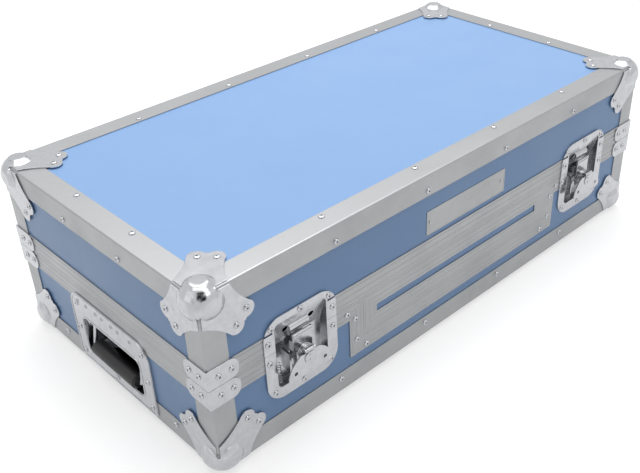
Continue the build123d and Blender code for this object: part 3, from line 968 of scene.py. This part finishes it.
@dataclass
class CaseShell:
    """Boards, extrusions and the rivets that hold them."""

    pitch: float = 152.4
    row_count: int = 4
    row_shift: float = 9.8
    edge_inset: float = 22.5
    end_spacing: float = 58.5
    bottom_spread: float = 2.1
    bottom_level: float = 20.0
    opening_rivets: tuple[Point2, ...] = (
        (-206.0, 111.0), (-193.0, 98.0), (-191.0, 66.0), (-175.0, 50.0))
    opening_mirror: float = 9.0
    rivets: Rivets = field(default_factory=Rivets)

    def dress_nodes(self) -> None:
        """Finishes the CAD boards and extrusions."""
        ends = {BOARD: ("_wall", "_board", "base_floor", "lid_top"),
                FRAME_METAL: ("_edge_frame", "_rail", "_rails"),
                POST_METAL: ("_corner_posts",),
                PANEL_METAL: ("opening_frame", "access_panel_rails"),
                STEEL: ("_ball_corners", "_seam_braces")}
        for finish, endings in ends.items():
            dress([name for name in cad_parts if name.endswith(endings)], finish)

    def row(self) -> list[float]:
        """Places of the rivets along the front and rear, in mm."""
        return [self.row_shift + self.pitch * (i - (self.row_count - 1) / 2) for i in range(self.row_count)]

    def build_edge_rivets(self) -> None:
        """Rivets along both legs of the edge extrusions, spread wider low on the ends."""
        inset, top = self.edge_inset, CASE.height
        up, down = Vector((0, 0, 1)), Vector((0, 0, -1))
        spots = [(wall, sign * x, sign * x) for wall, sign in ((Wall.FRONT, 1), (Wall.REAR, -1))
                 for x in self.row()]
        spots += [(wall, x, x * self.bottom_spread) for wall in (Wall.LEFT, Wall.RIGHT)
                  for x in (-self.end_spacing, self.end_spacing)]
        lid: list[Placement] = []
        base: list[Placement] = []
        for wall, x, low_x in spots:
            lid += [*wall.spots([(x, top - inset)], 0), (wall.point(x, -inset, top), up)]
            base += [*wall.spots([(low_x, self.bottom_level)], 0), (wall.point(x, -inset, 0), down)]
        self.rivets.build("lid_edge_rivets", "lid", lid)
        self.rivets.build("base_edge_rivets", "base", base)

    def build_opening_rivets(self) -> None:
        """Rivets at both ends of the frame round the front opening."""
        mirrored = [(self.opening_mirror - x, z) for x, z in self.opening_rivets]
        self.rivets.build("opening_frame_rivets", "base",
                          Wall.FRONT.spots([*self.opening_rivets, *mirrored], 0))

    def build(self) -> None:
        """Dresses the shell and sets its rivets."""
        self.dress_nodes()
        self.build_edge_rivets()
        self.build_opening_rivets()
        log.info("shell dressed")


@dataclass
class CornerHardware:
    """Rivets and pressed rings of the ball corners and seam braces.

    The rings lie ring_sink under the tops of the balls, to stay inside the CAD box.
    """

    leaf_rivets: tuple[Point2, ...] = ((43.0, 56.0), (57.5, 41.5))
    sheet: float = 1.5
    ring_radius: float = 10.4
    ring_width: float = 0.9
    ring_sink: float = 0.02
    ring_sides: int = 4
    ring_segments: int = 28
    brace_rivets: tuple[float, ...] = (13.5, 30.5)
    brace_level: float = 13.0
    rivets: Rivets = field(default_factory=hardware_rivets)

    def corner_faces(self, along: float, across: float, out: float, lid: bool) -> list[Placement]:
        """One place on each of the three faces of all four corners of the base or the lid.

        Args:
            along: Distance from the corner along the first edge of a face, in mm.
            across: Distance from the corner along the second edge, in mm.
            out: Distance out of the extrusions' face, in mm.
            lid: Whether the corners are the lid's.

        Returns:
            The places.
        """
        up = 1.0 if lid else -1.0
        places: list[Placement] = []
        for signs in ((sx, sy, up) for sx in (-1.0, 1.0) for sy in (-1.0, 1.0)):
            for face in range(3):
                inset = [along, across]
                inset.insert(face, -out)
                foot = Vector([s * (h - d) for s, h, d in zip(signs, CASE.halves, inset)])
                direction = Vector([signs[face] if i == face else 0.0 for i in range(3)])
                places.append(((foot + Vector(CASE.middle)) * MM, direction))
        return places

    def ring_template(self) -> bpy.types.Mesh:
        """The pressed ring round the middle of a ball's flat.

        Returns:
            The ring, on the XY plane.
        """
        angles = (math.pi * i / self.ring_sides for i in range(self.ring_sides + 1))
        arc = [(self.ring_radius + self.ring_width * math.cos(a), self.ring_width * math.sin(a))
               for a in angles]
        return spun(arc, self.ring_segments, closed=True)

    def build_group(self, lid: bool) -> None:
        """Rivets and rings of the base's or the lid's corners.

        Args:
            lid: Whether the corners are the lid's.
        """
        body = "lid" if lid else "base"
        leaves: list[Placement] = []
        for along, across in self.leaf_rivets:
            leaves += self.corner_faces(along, across, self.sheet, lid)
        self.rivets.build(body + "_corner_rivets", body, leaves)
        level = CASE.seam + self.brace_level * (1 if lid else -1)
        braces: list[Placement] = []
        for wall in Wall:
            braces += wall.spots([(side * (wall.half - inset), level) for side in (-1, 1)
                                  for inset in self.brace_rivets], self.sheet)
        self.rivets.build(body + "_brace_rivets", body, braces)
        out = CASE.ball_proud - self.ring_width - self.ring_sink
        faces = self.corner_faces(CASE.ball_inset, CASE.ball_inset, out, lid)
        flats = [(foot, direction) for foot, direction in faces if direction.z]
        finish_piece(place_copies(self.ring_template(), flats), body + "_ball_rings", STEEL, body)

    def build(self) -> None:
        """Sets the hardware of all eight corners."""
        for lid in (False, True):
            self.build_group(lid)
        log.info("corners dressed")


@dataclass
class TwistLatches:
    """The four recessed latches."""

    offset: float = 277.5
    sheet: float = 1.5
    upper_rivets: tuple[Point2, ...] = (
        (-42.5, 156.0), (42.5, 156.0), (0.0, 161.7), (-47.5, 137.6), (47.5, 137.6))
    lower_rivets: tuple[Point2, ...] = (
        (-47.5, 110.5), (47.5, 110.5), (-42.5, 64.5), (42.5, 64.5), (0.0, 59.5))
    axis: float = 104.0
    ring_radius: float = 9.6
    ring_wire: float = 0.6
    ring_levels: tuple[float, ...] = (4.6, 6.4, 8.2)
    ring_steps: int = 32
    ring_sides: int = 6
    spring_foot: Point3 = (-31.0, -5.5, 71.0)
    spring: Spring = Spring(radius=2.8, wire=0.5, turns=7, length=26.0)
    rivets: Rivets = field(default_factory=hardware_rivets)

    def places(self) -> dict[str, tuple[Wall, float]]:
        """Wall and position of each latch."""
        return {"front_left": (Wall.FRONT, -self.offset), "front_right": (Wall.FRONT, self.offset),
                "rear_left": (Wall.REAR, self.offset), "rear_right": (Wall.REAR, -self.offset)}

    def barrel_ring(self, wall: Wall, x: float, level: float) -> BMesh:
        """One of the raised rings round a spindle's barrel.

        Args:
            wall: The latch's wall.
            x: The latch's place along it, in mm.
            level: How far out of the extrusions' face the ring lies, in mm.

        Returns:
            The ring's mesh.
        """
        path = []
        for i in range(self.ring_steps):
            angle = math.tau * i / self.ring_steps
            along, up = self.ring_radius * math.cos(angle), self.ring_radius * math.sin(angle)
            path.append(wall.point(x + along, level, self.axis + up))
        return tube(path, self.ring_wire, closed=True, sides=self.ring_sides)

    def build(self) -> None:
        """Finishes the latch nodes and sets their rivets, barrel rings and return springs."""
        dress([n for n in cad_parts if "_latch_" in n or "_keeper_" in n], STEEL)
        for name, (wall, x) in self.places().items():
            for part, body, points in (("keeper", "lid", self.upper_rivets),
                                       ("latch", "base", self.lower_rivets)):
                self.rivets.build(name + "_" + part + "_rivets", body,
                                  wall.spots([(x + dx, z) for dx, z in points], self.sheet))
            rings = merged(self.barrel_ring(wall, x, level) for level in self.ring_levels)
            finish_piece(rings, name + "_barrel_rings", STEEL, name + "_latch_spindle")
            along, out, up = self.spring_foot
            spring = self.spring.wound(wall, (x + along, out, up), upright=True)
            finish_piece(spring, name + "_return_spring", STEEL, "base")
        log.info("latches dressed")


@dataclass
class EndHandles:
    """The two sprung handles in their dishes."""

    sheet: float = 1.5
    plate_rivets: tuple[Point2, ...] = (
        (-76.0, 55.0), (76.0, 55.0), (-72.0, 94.0), (72.0, 94.0), (-76.0, 16.0), (76.0, 16.0), (0.0, 16.0))
    rim_level: float = 100.0
    rim_places: tuple[float, ...] = (-67.0, -48.0, -26.0, -12.0, 9.0, 23.0, 49.0)
    half: float = 87.0
    low: float = 5.0
    high: float = 111.0
    lower: float = 8.0
    upper: float = 24.0
    bead_inset: float = 2.4
    bead: float = 0.9
    bead_sides: int = 8
    mouth_half: float = 62.0
    mouth_low: float = 24.0
    mouth_high: float = 77.0
    mouth_corner: float = 8.0
    spring_middle: Point3 = (58.8, -8.0, 66.0)
    spring: Spring = Spring(radius=4.7, wire=0.7, turns=3, length=4.2)
    rivets: Rivets = field(default_factory=hardware_rivets)
    eyelets: Rivets = field(default_factory=lambda: Rivets(radius=3.0, height=0.6, bore=0.7))

    def build_beads(self, name: str, wall: Wall) -> None:
        """Raised beads round the plate and round the dish's mouth.

        Args:
            name: Which handle it is.
            wall: The wall it is let into.
        """
        inset = self.bead_inset
        outer = rounded_outline(self.half - inset, self.low + inset, self.high - inset, self.lower - inset,
                                self.upper - inset)
        inner = rounded_outline(self.mouth_half + inset, self.mouth_low - inset, self.mouth_high + inset,
                                self.mouth_corner + inset, self.mouth_corner + inset)
        beads = merged(tube([wall.point(x, self.sheet, z) for x, z in outline], self.bead, closed=True,
                            sides=self.bead_sides) for outline in (outer, inner))
        finish_piece(beads, name + "_handle_beads", STEEL, "base")

    def build_springs(self, name: str, wall: Wall) -> None:
        """The two coils round the bail's ends, which fold it back.

        Args:
            name: Which handle it is.
            wall: The wall it is let into.
        """
        along, out, up = self.spring_middle
        starts = [(side * along - self.spring.length / 2, out, up) for side in (-1, 1)]
        coils = merged(self.spring.wound(wall, start, upright=False) for start in starts)
        finish_piece(coils, name + "_handle_springs", STEEL, "base")

    def build(self) -> None:
        """Finishes the handles and sets their rivets, eyelets, beads and springs."""
        for name, wall in (("left", Wall.LEFT), ("right", Wall.RIGHT)):
            dress((name + "_handle_dish", name + "_handle_bail"), STEEL)
            dress((name + "_handle_grip",), RUBBER)
            self.rivets.build(name + "_handle_rivets", "base", wall.spots(self.plate_rivets, self.sheet))
            holes = wall.spots([(x, self.rim_level) for x in self.rim_places], self.sheet)
            self.eyelets.build(name + "_handle_eyelets", "base", holes)
            # Dark cups of painted shade stand in the eyelets' uncut holes.
            self.eyelets.build_shadows(name + "_handle_eyelet_hole_shade", "base", holes)
            self.build_beads(name, wall)
            self.build_springs(name, wall)
        log.info("handles dressed")


@dataclass
class NamePlate:
    """A bare aluminium plate on the lid's front, held by two rivets."""

    left: float = -67.0
    right: float = 88.0
    low: float = 155.5
    high: float = 190.0
    thickness: float = 0.8
    border: float = 1.6
    step_width: float = 0.3
    step_depth: float = 0.25
    corner: float = 1.0
    corner_steps: int = 4
    rivet_inset: float = 7.0
    rivets: Rivets = field(default_factory=lambda: Rivets(radius=2.4, height=1.0))

    def build(self) -> None:
        """Makes the plate with its rolled border, and its rivets."""
        face = -CASE.edge_wall
        size = ((self.right - self.left) * MM, 1, (self.high - self.low) * MM)
        bm = bmesh.new()
        bmesh.ops.create_grid(bm, x_segments=1, y_segments=1, size=0.5)
        bmesh.ops.rotate(bm, verts=bm.verts, cent=(0, 0, 0), matrix=Matrix.Rotation(math.pi / 2, 3, "X"))
        bmesh.ops.scale(bm, verts=bm.verts, vec=size)
        bmesh.ops.bevel(bm, geom=bm.verts[:], offset=self.corner * MM, segments=self.corner_steps,
                        profile=0.5, affect="VERTICES", material=-1)
        grown = bmesh.ops.extrude_face_region(bm, geom=bm.faces[:])
        moved = [v for v in grown["geom"] if isinstance(v, bmesh.types.BMVert)]
        bmesh.ops.translate(bm, verts=moved, vec=(0, -self.thickness * MM, 0))
        front = [f for f in grown["geom"] if isinstance(f, bmesh.types.BMFace)]
        bmesh.ops.inset_region(bm, faces=front, thickness=self.border * MM, depth=0)
        bmesh.ops.inset_region(bm, faces=front, thickness=self.step_width * MM, depth=-self.step_depth * MM)
        bmesh.ops.recalc_face_normals(bm, faces=bm.faces)
        middle, level = (self.left + self.right) / 2, (self.low + self.high) / 2
        bmesh.ops.translate(bm, verts=bm.verts, vec=Wall.FRONT.point(middle, face, level))
        finish_piece(bm, "name_plate", FRAME_METAL, "lid")
        ends = [(x, level) for x in (self.left + self.rivet_inset, self.right - self.rivet_inset)]
        self.rivets.build("name_plate_rivets", "lid", Wall.FRONT.spots(ends, face + self.thickness))


@dataclass
class FoamLinings:
    """Foam pads that stand for the plain CAD foam."""

    rounding: float = 1.4
    rounding_steps: int = 3
    flat_angle: float = 1.0

    def build(self) -> None:
        """Makes each pad from its CAD solid, with softened edges."""
        for node, body in (("base_floor_foam", "base"), ("base_wall_foam", "base"), ("lid_foam", "lid")):
            bm = bmesh.new()
            bm.from_mesh(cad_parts[node].data)
            bmesh.ops.remove_doubles(bm, verts=bm.verts, dist=WELD)
            bmesh.ops.dissolve_limit(bm, angle_limit=math.radians(self.flat_angle), verts=bm.verts,
                                     edges=bm.edges)
            bmesh.ops.bevel(bm, geom=bm.edges[:], offset=self.rounding * MM, segments=self.rounding_steps,
                            profile=0.5, affect="EDGES", material=-1)
            bmesh.ops.recalc_face_normals(bm, faces=bm.faces)
            pad = finish_piece(bm, node + "_pad", FOAM, body)
            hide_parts(node)


# Studio

@dataclass(frozen=True)
class Softbox:
    """A square soft lamp that faces the case: place, width and aim in metres, power in watts."""

    name: str
    place: Point3
    width: float
    power: float
    aim: float = 0.1

    def build(self) -> None:
        """Hangs the lamp, facing a point over the middle of the floor."""
        data = bpy.data.lights.new(self.name, "AREA")
        data.shape = "SQUARE"
        data.size = self.width
        data.energy = self.power
        lamp = add_object(self.name, data)
        lamp.location = self.place
        forward = Vector((0, 0, self.aim)) - Vector(self.place)
        lamp.rotation_euler = forward.to_track_quat("-Z", "Y").to_euler()


@dataclass
class Studio:
    """Pale floor, soft lights, white surroundings and the photograph's camera.

    The lens, the sensor and the eye are in mm, and the other lengths are in metres.
    floor_fibre and card_pile are how many features fit across the floor and across the card.
    """

    lens: float = 50.09
    sensor: float = 36.0
    shift: Point2 = (-0.0621, -0.0091)
    eye: Point3 = (-768.1, -808.7, 764.5)
    turn: Point3 = (57.279, 1.050, -44.753)
    nearest: float = 0.01
    floor_size: float = 12.0
    floor_colour: str = "C8C8C8"
    floor_shade: str = "CDCDCD"
    floor_fibre: float = 900.0
    floor_glow: Point2 = (0.6, 0.96)
    glow_reach: Point2 = (1.2, 5.0)
    surround: float = 0.16
    card_at: Point3 = (-0.95, -1.35, 1.3)
    card_aim: float = 0.15
    card_size: Point2 = (1.3, 1.1)
    card_corner: float = 0.2
    card_greys: Point2 = (0.03, 0.045)
    card_pile: float = 300.0
    softboxes: tuple[Softbox, ...] = (
        Softbox("top_softbox", (-0.1, 0.1, 2.4), 2.2, 17.0),
        Softbox("rear_softbox", (0.5, 0.6, 2.8), 2.8, 62.0),
        Softbox("left_softbox", (-2.4, 0.2, 1.3), 1.6, 2.6),
        Softbox("front_softbox", (0.4, -1.9, 2.5), 1.4, 9.0))

    def build_camera(self) -> None:
        """The camera at the photograph's viewing angle."""
        data = bpy.data.cameras.new("photo_camera")
        data.lens = self.lens
        data.sensor_width = self.sensor
        data.sensor_fit = "HORIZONTAL"
        data.shift_x, data.shift_y = self.shift
        data.clip_start = self.nearest
        camera = add_object("photo_camera", data)
        camera.location = Vector(self.eye) * MM
        camera.rotation_euler = [math.radians(a) for a in self.turn]
        bpy.context.scene.camera = camera

    def build_card(self) -> None:
        """A small dark card behind the photograph's camera, which no camera sees but bright metal does."""
        bm = bmesh.new()
        bmesh.ops.create_grid(bm, x_segments=1, y_segments=1, size=0.5)
        bmesh.ops.scale(bm, verts=bm.verts, vec=(*self.card_size, 1.0))
        bmesh.ops.bevel(bm, geom=bm.verts[:], offset=self.card_corner, segments=5, profile=0.5,
                        affect="VERTICES", material=-1)
        forward = Vector((0, 0, self.card_aim)) - Vector(self.card_at)
        turn = forward.to_track_quat("Z", "Y").to_matrix().to_4x4()
        bmesh.ops.transform(bm, matrix=Matrix.Translation(self.card_at) @ turn, verts=bm.verts)
        mesh = to_mesh(bm, "black_card")
        material = bpy.data.materials.new("black_velvet")
        tree = cleared_tree(material)
        pile = add_node(tree, "TexNoise", inputs={"Scale": self.card_pile, "Detail": 3.0})
        low, high = self.card_greys
        tint = set_ramp(add_node(tree, "ValToRGB", inputs={0: pile.outputs["Fac"]}), [
            (0.3, grey(low)), (0.7, grey(high))])
        velvet = add_node(tree, "BsdfDiffuse", inputs={"Color": tint.outputs[0]})
        add_node(tree, "OutputMaterial", inputs={"Surface": velvet.outputs[0]})
        mesh.materials.append(material)
        card = add_object("black_card", mesh)
        card.visible_camera = False

    def build_floor(self) -> None:
        """A pale floor that shows white to the camera where no shadow falls."""
        bm = bmesh.new()
        bmesh.ops.create_grid(bm, x_segments=1, y_segments=1, size=self.floor_size / 2)
        mesh = to_mesh(bm, "studio_floor")
        material = bpy.data.materials.new("matt_white_paper")
        tree = cleared_tree(material)
        fibre = add_node(tree, "TexNoise", inputs={"Scale": self.floor_fibre, "Detail": 3.0})
        tint = set_ramp(add_node(tree, "ValToRGB", inputs={0: fibre.outputs["Fac"]}), [
            (0.3, linear(self.floor_colour)), (0.7, linear(self.floor_shade))])
        paper = add_node(tree, "BsdfDiffuse", inputs={"Color": tint.outputs[0]})
        place = add_node(tree, "TexCoord").outputs["Object"]
        away = add_node(tree, "VectorMath", {"operation": "LENGTH"}, {0: place})
        rise = add_node(tree, "MapRange", inputs={
            "Value": away.outputs["Value"], "From Min": self.glow_reach[0], "From Max": self.glow_reach[1],
            "To Min": self.floor_glow[0], "To Max": self.floor_glow[1]})
        glow = add_node(tree, "Emission", inputs={"Strength": rise.outputs[0]})
        lit = add_node(tree, "AddShader", inputs={0: paper.outputs[0], 1: glow.outputs[0]})
        mixed = add_node(tree, "MixShader", inputs={
            0: seen_mask(tree), 1: paper.outputs[0], 2: lit.outputs[0]})
        add_node(tree, "OutputMaterial", inputs={"Surface": mixed.outputs[0]})
        mesh.materials.append(material)
        add_object("studio_floor", mesh)

    def build_world(self) -> None:
        """White surroundings to the eye and in metal, dimmer as a light."""
        world = bpy.data.worlds.new("studio_surround")
        bpy.context.scene.world = world
        tree = cleared_tree(world)
        strength = add_node(tree, "MapRange", inputs={
            "Value": seen_mask(tree), "To Min": self.surround, "To Max": 1.0})
        back = add_node(tree, "Background", inputs={"Color": grey(1.0), "Strength": strength.outputs[0]})
        add_node(tree, "OutputWorld", inputs={"Surface": back.outputs[0]})

    def build(self) -> None:
        """Sets up the whole studio."""
        bpy.context.scene.view_settings.view_transform = "Standard"
        self.build_camera()
        self.build_world()
        self.build_floor()
        self.build_card()
        for softbox in self.softboxes:
            softbox.build()
        log.info("studio ready")


def main() -> None:
    """Builds the studio and dresses the case, sub-assembly by sub-assembly."""
    logging.basicConfig(level=logging.INFO, format="%(name)s: %(message)s")
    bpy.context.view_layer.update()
    Studio().build()
    for part in (CaseShell(), CornerHardware(), TwistLatches(), EndHandles(), NamePlate(), FoamLinings()):
        part.build()


if __name__ == "__main__":
    main()
